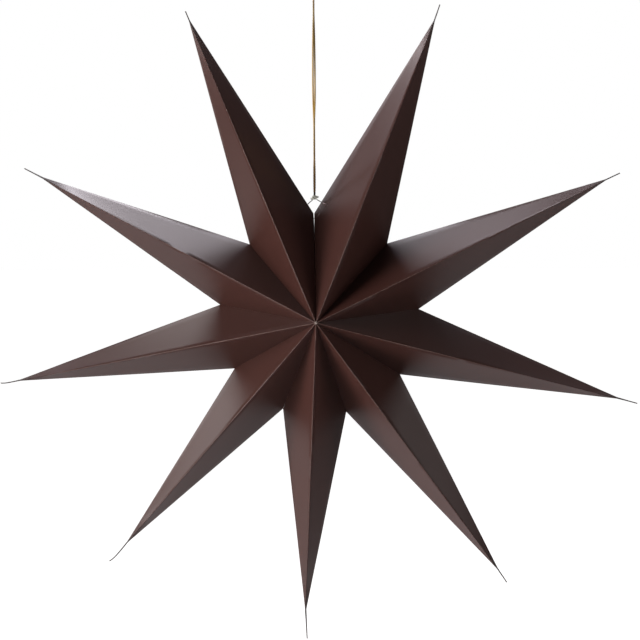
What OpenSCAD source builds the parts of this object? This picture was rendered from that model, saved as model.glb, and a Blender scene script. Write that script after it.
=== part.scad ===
// Nine-pointed folded paper star, hung from a looped gold cord.
// Each point is one folded sheet of brown card: a hollow, four-sided spike with a front and a back
// ridge, and a glue flap along each valley. The nine sheets are glued flap to flap into a ring, and
// the seam between the first and the last stays open, tied at its notch with a thin line.
// The origin is the place where the cord's loop lies on its hook, and the front faces -Y.

/* [Star] */
// Radius from the middle of the star to the tip of a point
tip_r = 309; // [240:1:380]
// Radius from the middle to a glued notch between two points
notch_r = 94; // [75:1:120]
// Radius from the middle to the free corners at the tied seam
seam_r = 97; // [78:1:123]
// Depth from the mid-plane to the raised centre, the same at the front and the back
half_depth = 75; // [55:1:100]
// Direction of the tied seam in degrees, where 90 is straight up
seam_angle = 92.5; // [85:0.5:95]

/* [Card] */
// Thickness of the card
card_t = 0.4; // [0.3:0.05:0.6]
// Width of the glue flaps along the valleys
flap_w = 12; // [8:1:18]
// Width of the lap that closes each sheet inside its back ridge
lap_w = 8; // [4:1:12]
// Glue line between two flaps, at the notch
glue_gap = 0.05; // [0.03:0.01:0.1]
// Gap at the notch between the two end points
seam_gap = 2; // [1:0.25:3]
// Radius of the gap on the axis, where the corners of all the sheets meet
centre_gap = 0.8; // [0.5:0.1:2]
// Air between the two layers of card in a pinched tip
pinch_gap = 0.2; // [0.15:0.05:0.5]
// Depth of a pinched tip at its very end
tip_depth = 1.2; // [0.8:0.1:3]

/* [Tie] */
// Diameter of the line that ties the seam
line_d = 0.8; // [0.5:0.1:1.2]
// Diameter of the holes for the line in the two end points
tie_hole_d = 2; // [1.6:0.1:2.6]
// Diameter of the knot's middle
knot_d = 4.6; // [4:0.1:6]
// Diameter of each of the knot's two side turns
knot_turn_d = 3.4; // [2.5:0.1:4]
// Height of the knot's middle above the seam's notch
knot_rise = 14.6; // [13:0.2:17]
// Distance from the seam's notch down to the holes in the two facing flaps
seam_hole_drop = 4.9; // [4:0.1:6]

/* [Hanging cord] */
// Diameter of the twisted gold cord
cord_d = 1.7; // [1.2:0.1:1.8]
// Height of the hook above the middle of the star
star_drop = 308; // [270:1:420]

/* [Hidden] */

card_brown = [0.24, 0.165, 0.15];
line_grey = [0.72, 0.7, 0.66];
cord_gold = [0.66, 0.52, 0.28];

// Opening of each point at the centre, in degrees, clockwise from the seam; the ninth takes the rest
opening_angles = [45.7, 42.6, 40, 38.5, 37.2, 37, 38.5, 39.5];
// Lean of each tip off the middle of its point, in degrees, positive when it is counter-clockwise
lean_angles = [-0.75, -0.25, 0.35, -0.25, 0.7, -0.6, -0.55, -0.25, -0.15];
// Length of each pinched tip
pinches = [18.5, 16.5, 20.5, 19, 29.5, 27.5, 20.5, 20.5, 11.5];
// Places along a point, from its valley edges at 0 to its pinched tip at 1, at which it is shaped
stations = [0, 0.25, 0.5, 0.7, 0.85, 0.95, 1];
// The same for the lap inside the back ridge
lap_stations = [0.03, 0.32, 0.58, 0.8];
// How deep the lap is set into the card that it is glued to, and how far it stays off the fold
lap_seat = card_t / 2;
fold_room = 1;
// Half the width of a pinched tip, which is two layers of card and the air between them
pinch_half_w = card_t + pinch_gap / 2;
// The last point's number, which is named because the seam ends there
last_index = 8;

// The middle of the star, under the hook and a little to the right of the cord
star_right = 3.5;
star_centre = [star_right, 0, -star_drop];
seam_notch = star_centre + seam_r * heading(seam_angle);

// The knot sits on the cord's line, and its top is flat where the cord's two ends stand on it
knot_at = [0, 0, seam_notch.z + knot_rise];
knot_top = knot_at.z + 1.5;
knot_turns = [knot_at + [-2.4, -0.2, -0.7], knot_at + [1.9, 0.2, 0.3]];

// Holes for the tie line: one through the front of the first point, one through the back of the last
// point, each given by a place in front of the card and one behind it, and one through each facing flap
front_hole = [seam_notch + [10.7, -8, 8.5], seam_notch + [14.3, -5.4, 6.1]];
back_hole = [seam_notch + [-12.7, 5.4, 4.1], seam_notch + [-9.2, 8, 6.5]];
seam_hole = seam_notch - [0, 0, seam_hole_drop];
hole_reach = 4.7;

// Route of the tie line: from the knot over the front of the first point, in through its hole,
// across the seam below the notch, out at the back of the last point and up to the knot
tie_route = concat(
    [knot_at + [0.6, 0, -1]],
    [for (p = [[2.9, -0.5, 12.5], [4.9, -1.1, 11.3], [6.9, -2.2, 10.3], [8.9, -4.9, 9.3]]) seam_notch + p],
    [front_hole[0], seam_notch + [12, -7.3, 7.7], front_hole[1]],
    [for (p = [[12.7, -3.4, 7], [8.7, -1.4, 2.4], [4.7, -0.2, 0.2], [2.2, 0, 0]]) seam_hole + p],
    [for (p = [[-1.8, 0, 0], [-4.3, 0.2, 0.2], [-8.3, 1.4, 2.4], [-11.7, 3.4, 6]]) seam_hole + p],
    [back_hole[0], seam_notch + [-10.5, 7.3, 5.7], back_hole[1]],
    [for (p = [[-7.5, 4.9, 7.3], [-5.5, 2.2, 8.5], [-3.5, 1.1, 10.3], [-1.5, 0.5, 11.9]]) seam_notch + p],
    [knot_at + [-0.6, 0, -1]]
);

// Half the route of the gold cord, from the knot up its long run, with heights in shares of the way
// down to the knot, and then its loop; the other half is its half-turn copy
cord_run = [
    [0, -0.95, 1], [0, -0.95, 0.975], [0.1, -0.95, 0.93], [0.2, -0.95, 0.87], [0, -0.95, 0.795],
    [0, -0.95, 0.72], [0.2, -0.95, 0.645], [0.6, -0.75, 0.585], [0.9, -0.4, 0.53],
    [0.95, 0, 0.46], [0.9, 0.4, 0.385], [0.75, 0.65, 0.3], [0.4, 0.9, 0.205], [0, 1, 0.135]
];
cord_loop = [[0, 1.6, -18], [0, 3.1, -11], [0, 4, -5.5], [0, 3, -1]];
cord_rise = concat([for (p = cord_run) [p.x, p.y, p.z * knot_top]], cord_loop);
cord_top = [0, 0, cord_d / 2];

function unit(v) = v / norm(v);
function total(v, n, i = 0) = i < n ? v[i] + total(v, n, i + 1) : 0;
function heading(a) = [cos(a), 0, sin(a)];

// Valleys are counted clockwise from the seam, which is both the first and the last of them
function is_seam(k) = k == 0 || k > last_index;
function corner_r(k) = is_seam(k) ? seam_r : notch_r;
function half_gap(k) = asin((is_seam(k) ? seam_gap : glue_gap) / 2 / corner_r(k));
function valley(k) = seam_angle - (k > last_index ? 360 : total(opening_angles, k));
function left_wall(i) = valley(i) - half_gap(i);
function right_wall(i) = valley(i + 1) + half_gap(i + 1);
function tip_angle(i) = (valley(i) + valley(i + 1)) / 2 + lean_angles[i];

// Corners of a point, always in the order front ridge, left crease, back ridge, right crease
function root_corners(i) = [
    [0, -half_depth, 0], corner_r(i) * heading(left_wall(i)),
    [0, half_depth, 0], corner_r(i + 1) * heading(right_wall(i))
];
function tip_corners(i, r, half_d) =
    let (out = heading(tip_angle(i)), left = pinch_half_w * heading(tip_angle(i) + 90))
    [r * out - [0, half_d, 0], r * out + left, r * out + [0, half_d, 0], r * out - left];
function ridge_depth(r) = half_depth + (tip_depth / 2 - half_depth) * r / tip_r;
function pinch_corners(i) =
    let (r = tip_r - pinches[i])
    tip_corners(i, r, ridge_depth(r));
function row(i, u) = (1 - u) * root_corners(i) + u * pinch_corners(i);

// Direction of each of the four folds, and the outward normals of the two panels that meet there
function folds(i) = [for (k = [0:3]) unit(pinch_corners(i)[k] - root_corners(i)[k])];
function panel_normal(fold, from, to) = unit(cross(fold, to - from));
function inset(i, u) =
    let (p = row(i, u), e = folds(i))
    [for (k = [0:3])
        let (before = panel_normal(e[k], p[(k + 3) % 4], p[k]), after = panel_normal(e[k], p[k], p[(k + 1) % 4]))
        p[k] - card_t * (before + after) / (1 + before * after)];

// The hollow starts one card thickness in from the flaps in the two valley walls
function wall_normals(i) = [heading(left_wall(i) + 90), heading(right_wall(i) - 90)];
function walls_at(i, k) = k == 1 ? [wall_normals(i)[0]] : k == 3 ? [wall_normals(i)[1]] : wall_normals(i);
function hollow_root(i) =
    let (p = inset(i, 0), e = folds(i))
    [for (k = [0:3]) p[k] + e[k] * max([for (n = walls_at(i, k)) -(card_t + p[k] * n) / (e[k] * n)])];

function outer_rows(i) = concat([for (u = stations) row(i, u)], [tip_corners(i, tip_r, tip_depth / 2)]);
function hollow_rows(i) = [for (u = stations) u == 0 ? hollow_root(i) : inset(i, u)];

// A closed solid through rows of four corners; its root is creased along the star's axis
module spike(rows) {
    n = len(rows);
    sides = [for (j = [0:n - 2]) for (k = [0:3])
        let (a = 4 * j + k, b = 4 * j + (k + 1) % 4)
        each k % 2 == 0 ? [[a, b, b + 4], [a, b + 4, a + 4]] : [[a, b, a + 4], [b, b + 4, a + 4]]];
    root = [[0, 3, 2], [0, 2, 1]];
    end = 4 * (n - 1);
    polyhedron([for (r = rows) each r], concat(sides, root, [[end, end + 1, end + 2, end + 3]]));
}

// The lap lies inside the back ridge, on its right-hand panel, and narrows towards the tip
module lap(i) {
    rows = [for (u = lap_stations)
        let (
            p = inset(i, u),
            way = unit(p[3] - p[2]),
            under = panel_normal(folds(i)[2], p[2], p[3]),
            start = p[2] + fold_room * way,
            finish = p[2] + (fold_room + lap_w * (1 - u)) * way
        )
        [
            start - card_t * under, start + lap_seat * under,
            finish + lap_seat * under, finish - card_t * under
        ]];
    spike(rows);
}

// The flaps are what is left of each valley wall when its middle is cut out
module wall_opening(angle, r) {
    slope = atan(half_depth / r);
    half_h = half_depth - flap_w / cos(slope);
    reach = r - flap_w / sin(slope);
    back = 2 * centre_gap;
    rotate([0, -angle, 0])
        linear_extrude(height = 4 * card_t, center = true)
            polygon([[-back, -half_h], [0, -half_h], [reach, 0], [0, half_h], [-back, half_h]]);
}

module drill(from, to, d) {
    way = to - from;
    translate(from)
        rotate([0, acos(way.z / norm(way)), atan2(way.y, way.x)])
            cylinder(h = norm(way), d = d, $fn = 32);
}

module star_point(i) {
    color(card_brown)
        difference() {
            translate(star_centre)
                difference() {
                    union() {
                        difference() {
                            spike(outer_rows(i));
                            spike(hollow_rows(i));
                        }
                        lap(i);
                    }
                    wall_opening(left_wall(i), corner_r(i));
                    wall_opening(right_wall(i), corner_r(i + 1));
                    rotate([90, 0, 0])
                        cylinder(h = 3 * half_depth, r = centre_gap, center = true, $fn = 32);
                }
            if (i == 0) {
                drill(front_hole[0], front_hole[1], tie_hole_d);
                drill(seam_hole, seam_hole + [hole_reach, 0, 0], tie_hole_d);
            }
            if (i == last_index) {
                drill(back_hole[0], back_hole[1], tie_hole_d);
                drill(seam_hole - [hole_reach, 0, 0], seam_hole, tie_hole_d);
            }
        }
}

// Points on a smooth curve through a route, with a number of steps for each of its stretches
function curve(p, steps) = [
    for (i = [0:len(p) - 2]) for (s = [0:steps - 1])
        let (a = p[max(i - 1, 0)], b = p[i], c = p[i + 1], d = p[min(i + 2, len(p) - 1)], t = s / steps)
        b + (c - a) * t / 2 + (2 * a - 5 * b + 4 * c - d) * t * t / 2 + (3 * b - a - 3 * c + d) * t * t * t / 2,
    p[len(p) - 1]
];
function tangent(p, i) = unit(p[min(i + 1, len(p) - 1)] - p[max(i - 1, 0)]);
function square_to(v, t) = unit(v - (v * t) * t);

// An eight-sided tube along a route
module tube(p, d) {
    sides = 8;
    n = len(p);
    first = square_to([1, 0.2, 0.1], tangent(p, 0));
    across = [for (i = 0, v = first; i < n; i = i + 1, v = square_to(v, tangent(p, min(i, n - 1)))) v];
    rings = [for (i = [0:n - 1]) for (k = [0:sides - 1])
        let (a = 360 * k / sides)
        p[i] + d / 2 * (cos(a) * across[i] + sin(a) * cross(tangent(p, i), across[i]))];
    walls = [for (i = [0:n - 2]) for (k = [0:sides - 1])
        let (a = sides * i + k, b = sides * i + (k + 1) % sides)
        each [[a, a + sides, b], [b, a + sides, b + sides]]];
    start = [for (k = [0:sides - 1]) k];
    finish = [for (k = [0:sides - 1]) sides * n - 1 - k];
    polyhedron(rings, concat(walls, [start, finish]));
}

module tie_line() {
    color(line_grey) {
        tube(curve(tie_route, 2), line_d);
        difference() {
            union() {
                translate(knot_at) sphere(d = knot_d, $fn = 32);
                for (at = knot_turns) translate(at) sphere(d = knot_turn_d, $fn = 32);
            }
            translate([-knot_d, -knot_d, knot_top]) cube(2 * knot_d);
        }
    }
}

module hanging_cord() {
    n = len(cord_rise);
    fall = [for (i = [n - 1:-1:0]) [-cord_rise[i].x, -cord_rise[i].y, cord_rise[i].z]];
    color(cord_gold) tube(curve(concat(cord_rise, [cord_top], fall), 2), cord_d);
}

star_point(0);  // point_1
star_point(1);  // point_2
star_point(2);  // point_3
star_point(3);  // point_4
star_point(4);  // point_5
star_point(5);  // point_6
star_point(6);  // point_7
star_point(7);  // point_8
star_point(8);  // point_9
tie_line();
hanging_cord();
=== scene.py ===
"""Nine-pointed star of folded brown card, tied at its seam and hung from a looped gold cord."""

import math

import bpy
import numpy as np
from mathutils import Matrix, Vector


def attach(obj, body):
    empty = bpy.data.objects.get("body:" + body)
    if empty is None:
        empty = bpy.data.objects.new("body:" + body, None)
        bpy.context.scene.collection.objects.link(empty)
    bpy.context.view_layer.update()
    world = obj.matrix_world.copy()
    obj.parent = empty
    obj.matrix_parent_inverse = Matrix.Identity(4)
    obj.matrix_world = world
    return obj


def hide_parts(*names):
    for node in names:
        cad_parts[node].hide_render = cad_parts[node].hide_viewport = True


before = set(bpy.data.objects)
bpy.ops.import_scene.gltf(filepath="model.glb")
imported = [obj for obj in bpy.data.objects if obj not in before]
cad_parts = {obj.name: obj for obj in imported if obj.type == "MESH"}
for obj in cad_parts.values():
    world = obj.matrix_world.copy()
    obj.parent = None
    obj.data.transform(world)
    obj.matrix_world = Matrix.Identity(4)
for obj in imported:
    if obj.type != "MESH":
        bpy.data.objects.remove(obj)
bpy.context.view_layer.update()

mm = 0.001
star_centre = Vector((3.5, 0, -308)) * mm

# Camera: in front of the star, a little to its right and above, as the photograph was taken.
# The lens covers 25 degrees, and the camera leans by a third of a degree.
camera_distance = 1350 * mm
camera_azimuth, camera_elevation = math.radians(2.0), math.radians(4.4)
camera_roll = math.radians(0.29)
from_star = Vector((
    math.sin(camera_azimuth) * math.cos(camera_elevation),
    -math.cos(camera_azimuth) * math.cos(camera_elevation),
    math.sin(camera_elevation),
))
aimed_at = star_centre + Vector((1.0, 0, -3.3)) * mm
lens_length = 1438 / 640  # in widths of the picture

lens = bpy.data.cameras.new("Camera")
lens.sensor_width = 36
lens.lens = lens.sensor_width * lens_length
lens.clip_start, lens.clip_end = 0.05, 60
camera = bpy.data.objects.new("Camera", lens)
camera.location = star_centre + from_star * camera_distance
looking = aimed_at - camera.location
camera.rotation_mode = "QUATERNION"
camera.rotation_quaternion = (
    looking.to_track_quat("-Z", "Y").to_matrix() @ Matrix.Rotation(-camera_roll, 3, "Z")
).to_quaternion()
bpy.context.scene.collection.objects.link(camera)
bpy.context.scene.camera = camera
bpy.context.scene.view_settings.view_transform = "Standard"

# Gold hanging cord: two plies of metallic yarn twisted together, doubled into a loop.
# Its two ends go down into the knot above the star's seam, and the loop lies over the hook.
cord_d = 1.7 * mm
seam_angle = 92.5
seam_r = 97 * mm
seam_notch = star_centre + seam_r * Vector(
    (math.cos(math.radians(seam_angle)), 0, math.sin(math.radians(seam_angle)))
)
knot_at = Vector((0, 0, seam_notch.z + 14.6 * mm))
knot_top = knot_at.z + 1.5 * mm

# One half of the cord, from the knot up: x and y in millimetres with the height as a share of the way
# down to the knot, then the loop's x, y and z in millimetres. The other half is its half-turn copy.
cord_run = [
    (0, -0.95, 1), (0.3, -0.9, 0.975), (0.4, -0.86, 0.93), (0.35, -0.88, 0.87), (0, -0.95, 0.795),
    (0, -0.95, 0.72), (0.2, -0.95, 0.645), (0.6, -0.75, 0.585), (0.9, -0.4, 0.53),
    (0.95, 0, 0.46), (0.9, 0.4, 0.385), (0.75, 0.65, 0.3), (0.4, 0.9, 0.205), (0, 1, 0.135),
]
cord_loop = [(0, 1.6, -18), (0, 3.1, -11), (0, 4, -5.5), (0, 3, -1)]
cord_rise = [(x * mm, y * mm, share * knot_top) for x, y, share in cord_run]
cord_rise += [(x * mm, y * mm, z * mm) for x, y, z in cord_loop]
cord_fall = [(-x, -y, z) for x, y, z in reversed(cord_rise)]
cord_route = cord_rise + [(0, 0, cord_d / 2 - 0.1 * mm)] + cord_fall


def smooth_line(route, steps):
    """Points on the smooth curve through a route, with a number of steps for each stretch."""
    p = np.array(route, float)
    first, last = np.maximum(np.arange(len(p) - 1) - 1, 0), len(p) - 1
    line = []
    for i in range(last):
        a, b, c, d = p[first[i]], p[i], p[i + 1], p[min(i + 2, last)]
        for t in np.arange(steps) / steps:
            line.append(
                b + (c - a) * t / 2 + (2 * a - 5 * b + 4 * c - d) * t**2 / 2
                + (3 * b - a - 3 * c + d) * t**3 / 2
            )
    return np.array(line + [p[last]])


def even_line(line, step):
    """The same line with its points a step apart, and how far along it each of them is."""
    along = np.concatenate([[0], np.cumsum(np.linalg.norm(np.diff(line, axis=0), axis=1))])
    at = np.linspace(0, along[-1], int(round(along[-1] / step)) + 1)
    return np.stack([np.interp(at, along, line[:, k]) for k in range(3)], axis=1), at


def line_frames(line):
    """Two directions square to a line at each of its points, carried along it without turning."""
    ahead = np.gradient(line, axis=0)
    ahead /= np.linalg.norm(ahead, axis=1)[:, None]
    side = np.zeros_like(line)
    v = np.array([1.0, 0.2, 0.1])
    for i, t in enumerate(ahead):
        v = v - (v @ t) * t
        v /= np.linalg.norm(v)
        side[i] = v
    return side, np.cross(ahead, side)


def tube(line, radius, sides):
    """Vertices, faces and texture coordinates of a closed tube; v is metres along, u goes round."""
    a, b = line_frames(line)
    angle = np.arange(sides) * 2 * np.pi / sides
    rings = line[:, None] + radius * (
        np.cos(angle)[None, :, None] * a[:, None] + np.sin(angle)[None, :, None] * b[:, None]
    )
    n = len(line)
    along = np.concatenate([[0], np.cumsum(np.linalg.norm(np.diff(line, axis=0), axis=1))])
    faces, coords = [], []
    for i in range(n - 1):
        for k in range(sides):
            j = (k + 1) % sides
            faces.append((i * sides + k, i * sides + j, (i + 1) * sides + j, (i + 1) * sides + k))
            for s, m in ((k, i), (k + 1, i), (k + 1, i + 1), (k, i + 1)):
                coords.append((s / sides, along[m]))
    faces.append(tuple(range(sides - 1, -1, -1)))
    faces.append(tuple((n - 1) * sides + k for k in range(sides)))
    coords += [(0.5, 0.0)] * sides + [(0.5, along[-1])] * sides
    return rings.reshape(-1, 3), faces, coords


def piece_from(name, tubes, material, middle=None):
    """One mesh object from several closed tubes, with a texture map that follows them. Where a
    middle line is given, the attribute "out" is each vertex's distance from it in millimetres."""
    points, faces, coords = [], [], []
    for p, f, c in tubes:
        start = sum(len(q) for q in points)
        points.append(p)
        faces += [tuple(start + i for i in face) for face in f]
        coords += c
    mesh = bpy.data.meshes.new(name)
    mesh.from_pydata(np.concatenate(points).tolist(), [], faces)
    mesh.uv_layers.new(name="Along").data.foreach_set("uv", np.array(coords).ravel())
    mesh.polygons.foreach_set("use_smooth", [len(face) == 4 for face in faces])
    mesh.materials.append(material)
    if middle is not None:
        out = [
            np.linalg.norm(p.reshape(len(middle), -1, 3) - middle[:, None], axis=2).ravel()
            for p, _, _ in tubes
        ]
        attribute = mesh.attributes.new("out", "FLOAT", "POINT")
        attribute.data.foreach_set("value", np.concatenate(out) / mm)
    piece = bpy.data.objects.new(name, mesh)
    bpy.context.scene.collection.objects.link(piece)
    return piece


class Wire:
    """A socket of a node tree. Its operators add Math nodes, or Vector Math nodes on vectors."""

    def __init__(self, socket):
        self.socket = socket

    def node(self, kind, settings=(), inputs=(), output=0):
        """Adds any node to the tree: its settings first, then values or wires for its sockets."""
        made = self.socket.id_data.nodes.new(kind)
        for name, value in dict(settings).items():
            if name == "items":
                while len(made.index_switch_items) < value:
                    made.index_switch_items.new()
            else:
                setattr(made, name, value)
        for name, value in dict(inputs).items():
            if isinstance(value, Wire):
                self.socket.id_data.links.new(value.socket, made.inputs[name])
            else:
                made.inputs[name].default_value = value
        return Wire(made.outputs[output])

    def also(self, output):
        """Another output of the same node."""
        return Wire(self.socket.node.outputs[output])

    def math(self, operation, *others):
        terms = dict(enumerate((self, *others)))
        return self.node("ShaderNodeMath", {"operation": operation}, terms)

    def vector(self, operation, *others, output="Vector"):
        terms = dict(enumerate((self, *others)))
        return self.node("ShaderNodeVectorMath", {"operation": operation}, terms, output)

    def scaled(self, factor):
        return self.node(
            "ShaderNodeVectorMath", {"operation": "SCALE"}, {"Vector": self, "Scale": factor}
        )

    def is_vector(self):
        return self.socket.type == "VECTOR"

    def pair(self, operation, other):
        vectors = self.is_vector() or isinstance(other, Wire) and other.is_vector()
        return self.vector(operation, other) if vectors else self.math(operation, other)

    def __add__(self, other):
        return self.pair("ADD", other)

    def __sub__(self, other):
        return self.pair("SUBTRACT", other)

    def __mul__(self, other):
        if self.is_vector() and not (isinstance(other, Wire) and other.is_vector()):
            return self.scaled(other)
        if not self.is_vector() and isinstance(other, Wire) and other.is_vector():
            return other.scaled(self)
        return self.pair("MULTIPLY", other)

    def __truediv__(self, other):
        return self.math("DIVIDE", other)

    def __neg__(self):
        return self * -1.0

    def __radd__(self, other):
        return self + other

    def __rsub__(self, other):
        return -self + other

    def __rmul__(self, other):
        return self * other

    def __rtruediv__(self, other):
        return self.math("POWER", -1.0) * other

    def __pow__(self, other):
        return self.math("POWER", other)

    def held(self, low=0.0, high=1.0):
        return self.math("MAXIMUM", low).math("MINIMUM", high)

    def ramp(self, low, high):
        """0 below low, 1 above high, and smooth between them; low may be the larger of the two."""
        return self.node(
            "ShaderNodeMapRange",
            {"interpolation_type": "SMOOTHSTEP"},
            {"Value": self, "From Min": low, "From Max": high},
        )

    def blend(self, first, second):
        """A colour that goes from the first to the second as this value goes from 0 to 1."""
        colours = [(*c, 1) if isinstance(c, tuple) else c for c in (first, second)]
        return self.node(
            "ShaderNodeMix", {"data_type": "RGBA"}, {0: self, 6: colours[0], 7: colours[1]}, 2
        )


def new_material(name):
    """A node material, its shader, and a wire to its object coordinates."""
    material = bpy.data.materials.new(name)
    material.use_nodes = True
    nodes = material.node_tree.nodes
    shader = nodes["Principled BSDF"]
    place = Wire(nodes.new("ShaderNodeTexCoord").outputs["Object"])
    return material, shader, place


def plug(shader, **wires):
    """Leads wires, or values, to the shader's sockets; an underscore stands for a space."""
    for name, value in wires.items():
        socket = shader.inputs[name.replace("_", " ")]
        if isinstance(value, Wire):
            socket.id_data.links.new(value.socket, socket)
        else:
            socket.default_value = value


gold_yarn, shader, place = new_material("Gold yarn")
along = place.node("ShaderNodeUVMap", {"uv_map": "Along"})
xyz = along.node("ShaderNodeSeparateXYZ", {}, {0: along})
height = place.node("ShaderNodeSeparateXYZ", {}, {0: place}, "Z")
filaments_round, filament_lay = 7, 0.004
filament = (xyz * filaments_round + xyz.also("Y") / filament_lay).math("FRACT")
thread = (filament - 0.5).math("ABSOLUTE") * 2
# Mask for painted shade in the gaps between the plies
ply_gap_shade = along.node("ShaderNodeAttribute", {"attribute_name": "out"}, {}, "Fac").ramp(0.82, 0.62)
glint = place.node(
    "ShaderNodeTexNoise", {}, {"Vector": place, "Scale": 1500.0, "Detail": 2.0}, "Fac"
).ramp(0.42, 0.66)
faded = place.node("ShaderNodeTexNoise", {}, {"Vector": place, "Scale": 60.0}, "Fac")
near_knot = height.ramp(-0.13, knot_top)
near_hook = height.ramp(-0.07, -0.015)
gold = (faded * 0.5 + glint * 0.5).blend((0.66, 0.39, 0.06), (1.0, 0.70, 0.20))
gold = (near_hook * 0.6).blend(gold, (0.36, 0.31, 0.24))
gold = (near_knot * 0.75).blend(gold, (0.26, 0.10, 0.05))
gold = height.ramp(knot_top + 5 * mm, knot_top + 1 * mm).blend(gold, (0.03, 0.04, 0.015))
# Painted shade: the ply surfaces near the cord's middle, in the gaps between the plies, are darkened,
# with fainter dark lines between the filaments.
gold = (ply_gap_shade * 0.9 + (1 - thread) * 0.15).held().blend(gold, (0.05, 0.022, 0.005))
weave = place.node("ShaderNodeBump", {}, {"Strength": 0.5, "Distance": 0.00006, "Height": thread})
plug(shader, Base_Color=gold, Roughness=0.45 - glint * 0.15, Normal=weave)
plug(shader, Metallic=0.1)

# Each ply's radius, how far its middle lies from the cord's, and the way along for one full twist
ply_count = 2
ply_r, ply_out, ply_lay = 0.52 * mm, 0.38 * mm, 4.9 * mm
cord_step = 0.4 * mm
cord_line, cord_along = even_line(smooth_line(cord_route, 16), cord_step)
across, upright = line_frames(cord_line)
plies = []
for ply in range(ply_count):
    phase = 2 * math.pi * (ply / ply_count - cord_along / ply_lay)[:, None]
    ply_line = cord_line + ply_out * (np.cos(phase) * across + np.sin(phase) * upright)
    plies.append(tube(ply_line, ply_r, 9))
cord = piece_from("Gold_cord", plies, gold_yarn, cord_line)
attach(cord, "root")
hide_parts("hanging_cord")

# Nine points of the star: each is one sheet of satin brown card, 0.4 mm thick, creased along a front
# ridge and two sides and closed with a lap at the back. Flaps along its four valley edges are glued
# to the next point's, and its tip is pinched flat.
card_t = 0.4 * mm
half_depth = 75 * mm
tip_r = 309 * mm
notch_r = 94 * mm
flap_w = 12 * mm
lap_w = 8 * mm
tip_depth = 1.2 * mm
pinch_half_w = 0.62 * mm
seam_gap, glue_gap = 0.75 * mm, 0.05 * mm
back_sink = 0.12 * mm  # how much lower the folds meet at the back than at the front

# Places where the coating is rubbed off: beside the seam's notch, and at the star's raised middle
rubbed_at = seam_notch + Vector((3.2, -2, 2)) * mm
axis_at = Vector((star_centre.x, 0, star_centre.z))

# The card's own attributes: "fold" is millimetres from the nearest ridge, with a large offset added
# at the side creases and on the flaps that keeps the lighter ridge line off them; "reach" goes from 0
# at the valleys through 1 at the pinch to 2.
no_ridge_line = 9.0
brown_card, shader, place = new_material("Brown card")
fold = place.node("ShaderNodeAttribute", {"attribute_name": "fold"}, {}, "Fac")
reach = place.node("ShaderNodeAttribute", {"attribute_name": "reach"}, {}, "Fac")
fibre = place.node(
    "ShaderNodeTexNoise", {}, {"Vector": place, "Scale": 1100.0, "Detail": 2.0}, "Fac"
)
cloud = place.node("ShaderNodeTexNoise", {}, {"Vector": place, "Scale": 9.0, "Detail": 3.0}, "Fac")
scuff = place.node(
    "ShaderNodeTexNoise", {}, {"Vector": place, "Scale": 330.0, "Detail": 4.0}, "Fac"
)
brown = (cloud * 0.7 + fibre * 0.3).blend((0.050, 0.019, 0.015), (0.070, 0.029, 0.023))
# Lighter line along the front and back ridges, strongest near the star's middle: partly coating
# rubbed off the folds, partly a painted highlight where the rounded folds catch the light.
fading = reach.ramp(0.85, 0.0) * 0.8 + 0.12
ridge_wear_and_highlight = fold.ramp(0.42, 0.12) * (scuff.ramp(0.3, 0.6) * 0.6 + 0.4) * fading
brown = ridge_wear_and_highlight.blend(brown, (0.36, 0.25, 0.22))
right_of_seam = place.node("ShaderNodeSeparateXYZ", {}, {0: place}).ramp(
    seam_notch.x + 0.1 * mm, seam_notch.x + 0.4 * mm
)
close_by = place.vector("DISTANCE", rubbed_at, output="Value").ramp(8.5 * mm, 5 * mm)
rubbed = close_by * scuff.ramp(0.54, 0.58) * right_of_seam
brown = (rubbed * 0.7).blend(brown, (0.32, 0.24, 0.23))
off_axis = place.vector("MULTIPLY", (1, 0, 1)).vector("DISTANCE", axis_at, output="Value")
brown = off_axis.ramp(1.7 * mm, 0.9 * mm).blend(brown, (0.36, 0.30, 0.27))
pinched = reach.ramp(0.9, 1.02)
brown = (pinched * 0.7).blend(brown, (0.075, 0.07, 0.066))
relief = fibre * reach.ramp(0.75, 0.35)
grain = place.node("ShaderNodeBump", {}, {"Strength": 0.2, "Distance": 0.00004, "Height": relief})
handled = reach.ramp(0.86, 0.98)
roughness = 0.27 + cloud * 0.06 + ridge_wear_and_highlight * 0.2 + handled * 0.35
plug(shader, Base_Color=brown, Roughness=roughness, Normal=grain)

folding = bpy.data.node_groups.new("Folded point", "GeometryNodeTree")
folding.is_modifier = True
folding.interface.new_socket("Sheet", in_out="OUTPUT", socket_type="NodeSocketGeometry")
size_names = (
    "Left wall", "Right wall", "Left corner", "Right corner", "Pinch heading", "Tip heading", "Pinch",
    "Hook", "Seed",
)
size_sockets = {
    name: folding.interface.new_socket(name, in_out="INPUT", socket_type="NodeSocketFloat")
    for name in size_names
}
sizes = folding.nodes.new("NodeGroupInput")
size = {name: Wire(sizes.outputs[name]) for name in size_names}
any_wire = size["Left wall"]


def combined(x, y, z):
    return any_wire.node("ShaderNodeCombineXYZ", {}, {0: x, 1: y, 2: z})


def heading(angle):
    return combined(angle.math("COSINE"), 0.0, angle.math("SINE"))


def unit(v):
    return v.vector("NORMALIZE")


def length(v):
    return v.vector("LENGTH", output="Value")


def between(a, b, share):
    return a + (b - a) * share


into = combined(0.0, 1.0, 0.0)
pinch_r = tip_r - size["Pinch"]
pinch_depth = half_depth + (tip_depth / 2 - half_depth) * (pinch_r / tip_r)
left_root = heading(size["Left wall"]) * size["Left corner"]
right_root = heading(size["Right wall"]) * size["Right corner"]
root = {
    "B": into * (half_depth - back_sink), "R": right_root, "F": into * -half_depth, "L": left_root,
}


def end_corners(way, r, depth):
    out, left = heading(way) * r, heading(way + math.pi / 2) * pinch_half_w
    return {"B": out + into * depth, "R": out - left, "F": out - into * depth, "L": out + left}


pinched_at = end_corners(size["Pinch heading"], pinch_r, pinch_depth)
ends_at = end_corners(size["Tip heading"], tip_r, tip_depth / 2)


lap_clear = 1.05  # thicknesses of card from a panel's face to that of the lap under it


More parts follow.
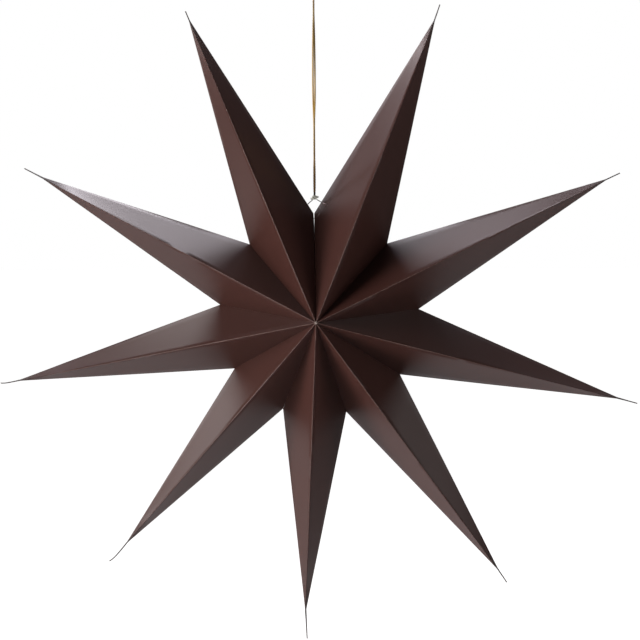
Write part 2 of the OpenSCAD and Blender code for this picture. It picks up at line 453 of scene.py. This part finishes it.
def sheet_corners(u):
    """The sheet's folds at a place along the point: its edge at the back ridge, right crease, front
    ridge, left crease, the fold back over the ridge, and the lap's edge."""
    low, high = u.held(), u.math("MAXIMUM", 1.0) - 1.0
    at = {k: between(between(root[k], pinched_at[k], low), ends_at[k], high) for k in root}
    to_right = unit(at["R"] - at["B"])
    to_left = unit(at["L"] - at["B"])
    right_out = unit((pinched_at["B"] - root["B"]).vector("CROSS_PRODUCT", to_right))
    under = lap_clear * card_t * u.ramp(0.93, 0.8)
    lean = -(to_left.vector("DOT_PRODUCT", right_out, output="Value"))
    tucked = at["B"] + to_left * (under / lean)
    return [at["B"], at["R"], at["F"], at["L"], tucked, tucked + to_right * (lap_w * (1.02 - low))]


def pick(index, vectors):
    terms = {"Index": index, **{str(i): v for i, v in enumerate(vectors)}}
    return any_wire.node(
        "GeometryNodeIndexSwitch", {"data_type": "VECTOR", "items": len(vectors)}, terms
    )


def grid(across_x, across_y, x_count, y_count):
    return any_wire.node(
        "GeometryNodeMeshGrid", {},
        {"Size X": across_x, "Size Y": across_y, "Vertices X": x_count, "Vertices Y": y_count},
    )


def placed(geometry, position):
    return any_wire.node("GeometryNodeSetPosition", {}, {"Geometry": geometry, "Position": position})


def stored(geometry, name, value):
    return any_wire.node(
        "GeometryNodeStoreNamedAttribute", {"data_type": "FLOAT", "domain": "CORNER"},
        {"Geometry": geometry, "Name": name, "Value": value},
    )


# The sheet itself is one grid: along the point, and round it over four panels and the lap. Each half
# panel has steps round its fold and then steps over its flat, and its spike has rows of its own.
fold_steps, flat_steps = 3, 4
panel_steps = 2 * (fold_steps + flat_steps)
body_steps, spike_steps = 30, 8
fold_reach = 0.6 * mm
panels, lap_panel, lap_end = 5, 4, 0.84
bulge_share, wave_depth = 0.004, 0.9 * mm
here = any_wire.node("GeometryNodeInputPosition")
here_x = any_wire.node("ShaderNodeSeparateXYZ", {}, {0: here})
row = here_x + 0.5
body_share = body_steps / (body_steps + spike_steps)
spike_row = (row - body_share).math("MAXIMUM", 0.0)
u = (row / body_share).math("MINIMUM", 1.0) + spike_row / (1 - body_share)
v = here_x.also("Y") + panels / 2
panel = v.math("MINIMUM", panels - 0.0001).math("FLOOR")
across_panel = v - panel
far_half = across_panel.math("GREATER_THAN", 0.5)
near_index = panel + far_half
far_index = panel + (1 - far_half)
other_index = (near_index * 2 - far_index).held(0, panels)
corners = sheet_corners(u)
near, far, other = (pick(i, corners) for i in (near_index, far_index, other_index))
width = length(far - near)
round_to = (width * 0.3).math("MINIMUM", fold_reach)
half_share = across_panel.math("MINIMUM", 1 - across_panel) * 2
step_share = half_share * ((fold_steps + flat_steps) / fold_steps)
flat_share = ((step_share - 1) * (fold_steps / flat_steps)).held()
rounded = round_to * step_share.held() + (width / 2 - round_to) * flat_share
t = step_share.held() * 0.5 + 0.5
near_way, other_way = unit(far - near), unit(other - near)
curl = near_way * (round_to * t * t) + other_way * (round_to * (1 - t) * (1 - t))
on_flat = near_way * (rounded - round_to * step_share.held())
valley_corners, pinch_corners = sheet_corners(any_wire * 0), sheet_corners(any_wire * 0 + 1.0)
ridge_way = pick(near_index, pinch_corners) - pick(near_index, valley_corners)
out_sign = 1 - far_half * 2
outward = unit(ridge_way.vector("CROSS_PRODUCT", near_way)) * out_sign
middle = across_panel * (1 - across_panel) * 4
lap_mask = v.math("LESS_THAN", lap_panel)
bulge = width * bulge_share * middle * u.ramp(0.0, 0.5) * u.ramp(1.0, 0.75) * lap_mask
wave_seed = combined(size["Seed"], panel, 0.0)
flat_place = near + curl + on_flat
wave = any_wire.node(
    "ShaderNodeTexNoise", {}, {"Vector": flat_place + wave_seed, "Scale": 11.0, "Detail": 1.0}, "Fac"
) - 0.5
bulge = bulge + wave * wave_depth * middle * u.ramp(0.0, 0.25) * u.ramp(1.0, 0.8) * lap_mask
tip_left = heading(size["Tip heading"] + math.pi / 2)
hooked = tip_left * (size["Hook"] * (u - 1).math("MAXIMUM", 0.0) ** 5)
sheet = grid(1.0, float(panels), body_steps + spike_steps + 1, panels * panel_steps + 1)
sheet = stored(sheet, "fold", rounded * 1000 + near_index.math("MODULO", 2.0) * no_ridge_line)
sheet = stored(sheet, "reach", u)
sheet = placed(sheet, flat_place + outward * bulge + hooked)
past_lap = {0: v.math("GREATER_THAN", lap_panel + 0.02), 1: u.math("GREATER_THAN", lap_end)}
lap_unused = any_wire.node("FunctionNodeBooleanMath", {"operation": "AND"}, past_lap)
sheet = any_wire.node(
    "GeometryNodeDeleteGeometry", {"domain": "POINT"}, {"Geometry": sheet, "Selection": lap_unused}
)
joined = any_wire.node("GeometryNodeJoinGeometry")
joined.socket.id_data.links.new(sheet.socket, joined.socket.node.inputs[0])

# Each of the four flaps is a narrow grid that meets its panel's valley edge point for point. Its ends
# are cut so that it stays clear of the ridge and of the notch.
ridge_room = 1.2 * mm
flap_row = 0.5 - here_x
flap_share = here_x.also("Y") + 0.5
for side, ridge_first in enumerate((True, False, True, False)):
    start, end = valley_corners[side], valley_corners[side + 1]
    way = unit(end - start)
    edge = length(end - start)
    foot = start - way * start.vector("DOT_PRODUCT", way, output="Value")
    inward = -unit(foot)
    notch_r_here = size["Right corner"] if side < 2 else size["Left corner"]
    slope = half_depth / notch_r_here
    at_ridge = fold_reach + flap_row * (flap_w * slope + ridge_room)
    at_notch = fold_reach + flap_row * (flap_w / slope)
    first_cut, last_cut = (at_ridge, at_notch) if ridge_first else (at_notch, at_ridge)
    along_edge = first_cut + (edge - first_cut - last_cut) * flap_share
    flap = grid(1.0, 1.0, 4, 2 * flat_steps + 1)
    flap = stored(flap, "fold", any_wire * 0 + no_ridge_line)
    flap = stored(flap, "reach", any_wire * 0)
    flap = placed(flap, start + way * along_edge + inward * (flap_row * flap_w))
    joined.socket.id_data.links.new(flap.socket, joined.socket.node.inputs[0])
whole = any_wire.node(
    "GeometryNodeMergeByDistance", {}, {"Geometry": joined, "Distance": 0.01 * mm}
)
whole = any_wire.node("GeometryNodeTransform", {}, {"Geometry": whole, "Translation": star_centre})
whole = any_wire.node("GeometryNodeSetShadeSmooth", {}, {"Geometry": whole})
whole = any_wire.node("GeometryNodeRealizeInstances", {}, {"Geometry": whole})
whole = any_wire.node("GeometryNodeSetMaterial", {}, {"Geometry": whole, "Material": brown_card})
folding.links.new(whole.socket, folding.nodes.new("NodeGroupOutput").inputs[0])

# From the seam clockwise: the degrees between valleys, of which the ninth point takes what is left;
# the degrees by which each point's pinch and tip turn from the middle between its valleys; the length
# of each pinched tip and how far its very end bends aside, in millimetres.
opening_angles = [45.7, 42.6, 40, 38.5, 37.2, 37, 38.5, 39.5]
pinch_leans = [-1.19, -0.12, 0.35, 0.06, 0.03, -0.5, -0.34, -0.13, 0.33]
tip_leans = [-1.07, -0.14, 0.35, 0, 0.52, -0.4, -0.33, -0.16, 0.31]
pinches = [15.5, 14.5, 18.5, 16, 28, 26, 18.5, 18.5, 9.5]
hooks = [0, 0, 0, 0, 0, -1.8, -1.2, 0, 0]
valleys = [seam_angle - sum(opening_angles[:k]) for k in range(9)] + [seam_angle - 360]


def corner_of(k):
    """The radius of a valley's corners, and half the gap there as an angle in degrees."""
    r, gap = (seam_r, seam_gap) if k in (0, 9) else (notch_r, glue_gap)
    return r, math.degrees(math.asin(gap / 2 / r))


def beside(place, *offsets):
    """Places at offsets in millimetres from a place."""
    return [place + Vector(p) * mm for p in offsets]


# Holes for the tie line, each by its two ends: in the first point's front, in the last one's back
# and through the flaps of both
hole_d = 2 * mm
seam_hole = seam_notch - Vector((0, 0, 4.9)) * mm
front_hole = beside(seam_notch, (10.7, -8, 8.5), (14.3, -5.4, 6.1))
back_hole = beside(seam_notch, (-12.7, 5.4, 4.1), (-9.2, 8, 6.5))
flap_hole = beside(seam_hole, (-4.7, 0, 0), (4.7, 0, 0))


def drill(from_to):
    """A rod along a hole, to be cut out of the card."""
    line, _ = even_line(np.array(from_to, float), 2 * mm)
    rod_points, rod_faces, _ = tube(line, hole_d / 2, 24)
    rod_mesh = bpy.data.meshes.new("Hole")
    rod_mesh.from_pydata(rod_points.tolist(), [], rod_faces)
    rod = bpy.data.objects.new("Hole", rod_mesh)
    bpy.context.scene.collection.objects.link(rod)
    return rod


tie_holes = {0: (front_hole, flap_hole), 8: (back_hole, flap_hole)}
sharp_from = math.radians(32)
for i in range(9):
    (left_r, left_half), (right_r, right_half) = corner_of(i), corner_of(i + 1)
    blank = bpy.data.meshes.new("Blank")
    maker = bpy.data.objects.new("Blank", blank)
    bpy.context.scene.collection.objects.link(maker)
    modifier = maker.modifiers.new("Fold", "NODES")
    modifier.node_group = folding
    values = {
        "Left wall": math.radians(valleys[i] - left_half),
        "Right wall": math.radians(valleys[i + 1] + right_half),
        "Left corner": left_r, "Right corner": right_r,
        "Pinch heading": math.radians((valleys[i] + valleys[i + 1]) / 2 + pinch_leans[i]),
        "Tip heading": math.radians((valleys[i] + valleys[i + 1]) / 2 + tip_leans[i]),
        "Pinch": pinches[i] * mm, "Hook": hooks[i] * mm, "Seed": float(i),
    }
    for name, value in values.items():
        modifier[size_sockets[name].identifier] = value
    thick = maker.modifiers.new("Card", "SOLIDIFY")
    thick.thickness = card_t
    thick.offset = -1
    rods = [drill(hole) for hole in tie_holes.get(i, ())]
    for rod in rods:
        cut = maker.modifiers.new("Tie hole", "BOOLEAN")
        cut.operation, cut.solver, cut.object = "DIFFERENCE", "EXACT", rod
    depsgraph = bpy.context.evaluated_depsgraph_get()
    mesh = bpy.data.meshes.new_from_object(maker.evaluated_get(depsgraph))
    for made_for_it in (maker, *rods):
        bpy.data.meshes.remove(made_for_it.data)
    mesh.set_sharp_from_angle(angle=sharp_from)
    mesh.name = f"Card_point_{i + 1}"
    point = bpy.data.objects.new(f"Card_point_{i + 1}", mesh)
    bpy.context.scene.collection.objects.link(point)
    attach(point, "root")
    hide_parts(f"point_{i + 1}")

# Tie line: a thin pale line through a hole in each of the two end points, drawn together and knotted
# above the seam, where it also holds the cord's two ends.
line_d = 0.8 * mm
clear_line, shader, place = new_material("Clear line")
cloudy = place.node("ShaderNodeTexNoise", {}, {"Vector": place, "Scale": 700.0}, "Fac")
from_knot = place - place.node("ShaderNodeCombineXYZ", {}, dict(enumerate(knot_at)))
sideways = from_knot.node("ShaderNodeSeparateXYZ", {}, {0: from_knot})
# Painted light and shade on the knot's side lobes: the left lobe paler and the right lobe darker, as
# the lamps light it from the left.
lobe_light_and_shade = sideways.ramp(-2.4 * mm, 2.4 * mm).blend((0.90, 0.90, 0.84), (0.55, 0.55, 0.52))
pale = cloudy.blend((0.92, 0.92, 0.86), (0.98, 0.98, 0.94))
knotted = sideways.math("ABSOLUTE").ramp(1.6 * mm, 2.4 * mm).blend(pale, lobe_light_and_shade)
# Painted shade and highlight on the clear line: near black along the strand, and pale on its
# right-hand end where it lies over the card.
strand_shade_and_highlight = sideways.ramp(6.5 * mm, 8.5 * mm).blend((0.045, 0.034, 0.027), (0.80, 0.66, 0.66))
away = from_knot.vector("LENGTH", output="Value").ramp(2.6 * mm, 3.8 * mm)
away = (away * sideways.also("Z").ramp(-0.5 * mm, -2.2 * mm)).held()
plug(shader, Base_Color=away.blend(knotted, strand_shade_and_highlight), Roughness=0.3 + cloudy * 0.1)
plug(shader, Transmission_Weight=0.65, IOR=1.12)


tie_route = [
    *beside(knot_at, (0.6, 0, -1)),
    *beside(seam_notch, (2.9, -0.5, 12.5), (4.9, -1.1, 11.3), (6.9, -2.2, 10.3), (8.9, -4.9, 9.3)),
    front_hole[0], *beside(seam_notch, (12, -7.3, 7.7)), front_hole[1],
    *beside(seam_hole, (12.7, -3.4, 7), (8.7, -1.4, 2.4), (4.7, -0.2, 0.2), (2.2, 0, 0)),
    *beside(seam_hole, (-1.8, 0, 0), (-4.3, 0.2, 0.2), (-8.3, 1.4, 2.4), (-11.7, 3.4, 6)),
    back_hole[0], *beside(seam_notch, (-10.5, 7.3, 5.7)), back_hole[1],
    *beside(seam_notch, (-7.5, 4.9, 7.3), (-5.5, 2.2, 8.5), (-3.5, 1.1, 10.3), (-1.5, 0.5, 11.9)),
    *beside(knot_at, (-0.6, 0, -1)),
]
tie_line, _ = even_line(smooth_line(tie_route, 8), 0.5 * mm)
turn = np.linspace(0, 2 * np.pi, 97)
overhand = np.stack([
    1.17 * (np.sin(turn) + 2 * np.sin(2 * turn)),
    0.5 * -np.sin(3 * turn),
    0.42 * (2 * np.cos(2 * turn) - np.cos(turn)) - 0.1 + 0.16 * np.sin(turn),
], axis=1)
lean = np.array(Matrix.Rotation(math.radians(-12), 3, "Y"))


def in_knot(turns, r):
    """A tube along turns of the line that are given in millimetres from the knot's middle."""
    return tube(turns @ lean.T * mm + np.array(knot_at), r, 12)


strands = [tube(tie_line, line_d / 2, 12), in_knot(overhand, 0.78 * mm)]
for x in (-0.72, 0.72):
    wrap = np.stack([
        x + 0.3 * np.cos(turn), 1.35 * np.sin(turn), 1.45 * np.cos(turn) - 0.05
    ], axis=1)
    strands.append(in_knot(wrap, 0.72 * mm))
tie = piece_from("Tie_line", strands, clear_line)
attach(tie, "root")
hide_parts("tie_line")

# Studio: a pale floor well below the star in a dim room, and soft lamps round it. The camera, and
# whatever mirrors or refracts, sees a white background behind the star.
def background_seen(anchor, behind):
    """1 for the rays that are to see the white background, and 0 for those that light the star."""
    path = anchor.node("ShaderNodeLightPath", {}, {}, "Is Camera Ray")
    return path + path.also("Is Transmission Ray") + path.also("Is Glossy Ray") * behind


room_light = 0.05
world = bpy.data.worlds.new("Studio")
bpy.context.scene.world = world
world.use_nodes = True
sky = world.node_tree.nodes["Background"]
ray_way = Wire(world.node_tree.nodes.new("ShaderNodeTexCoord").outputs["Generated"])
ray_back = ray_way.node("ShaderNodeSeparateXYZ", {}, {0: ray_way}, "Y")
sky_seen = background_seen(ray_way, ray_back.ramp(0.85, 0.95)).held()
plug(sky, Color=sky_seen * (1 - room_light) + room_light, Strength=1)

floor_z = -1.15
floor_mesh = bpy.data.meshes.new("Floor")
floor_mesh.from_pydata(
    [(x, y, floor_z) for x, y in ((-20, -20), (20, -20), (20, 20), (-20, 20))], [], [(0, 1, 2, 3)]
)
floor = bpy.data.objects.new("Floor", floor_mesh)
bpy.context.scene.collection.objects.link(floor)
pale_floor, shader, place = new_material("Pale floor")
spot = place.node("ShaderNodeSeparateXYZ", {}, {0: place})
far_back = (spot.also("Y") - spot.math("ABSOLUTE") * 2.2).ramp(1.2, 1.6)
plug(shader, Base_Color=(0.75, 0.75, 0.75, 1), Roughness=0.9)
plug(shader, Emission_Color=background_seen(place, far_back).held(), Emission_Strength=1)
floor_mesh.materials.append(pale_floor)


def soft_lamp(name, polar, clock, far, across, watts, tint=(1, 1, 1)):
    """A round lamp towards the star: degrees from the camera's side, then counter-clockwise from the
    right as the camera sees it, its distance and width in metres."""
    lamp = bpy.data.lights.new(name, "AREA")
    lamp.shape, lamp.size = "DISK", across
    lamp.energy, lamp.color = watts, tint
    p, c = math.radians(polar), math.radians(clock)
    way = Vector((math.sin(p) * math.cos(c), -math.cos(p), math.sin(p) * math.sin(c)))
    holder = bpy.data.objects.new(name, lamp)
    holder.location = star_centre + way * far
    holder.rotation_mode = "QUATERNION"
    holder.rotation_quaternion = (-way).to_track_quat("-Z", "Y")
    holder.visible_camera = False
    bpy.context.scene.collection.objects.link(holder)


warm, cool = (1, 0.94, 0.93), (0.98, 0.93, 1)
soft_lamp("Key low", 62, 180, 2.6, 1.2, 51, warm)
soft_lamp("Key high", 62, 150, 2.6, 1.2, 23, warm)
soft_lamp("Left below", 62, 240, 1.0, 0.4, 1.3, warm)
soft_lamp("Right fill", 70, 0, 1.4, 0.6, 3.8, warm)
soft_lamp("Top", 105, 90, 1.4, 0.5, 2.7, cool)
soft_lamp("Top back", 125, 120, 1.4, 0.5, 1.6, warm)
soft_lamp("Back", 122, 77, 2.6, 0.75, 7, cool)
soft_lamp("Back high", 127, 105, 1.0, 0.35, 2.1, cool)
soft_lamp("Right back high", 125, 52, 2.6, 0.75, 0.3, cool)
soft_lamp("Left back high", 122, 142, 2.6, 0.75, 2.8, cool)
soft_lamp("Left back", 122, 160, 2.6, 0.75, 2.5, warm)
soft_lamp("Left back low", 122, 195, 2.6, 0.75, 0.8, warm)
soft_lamp("Left behind", 140, 168, 2.6, 0.75, 2.2, warm)
soft_lamp("Right back", 122, 15, 2.6, 0.75, 0.9, warm)
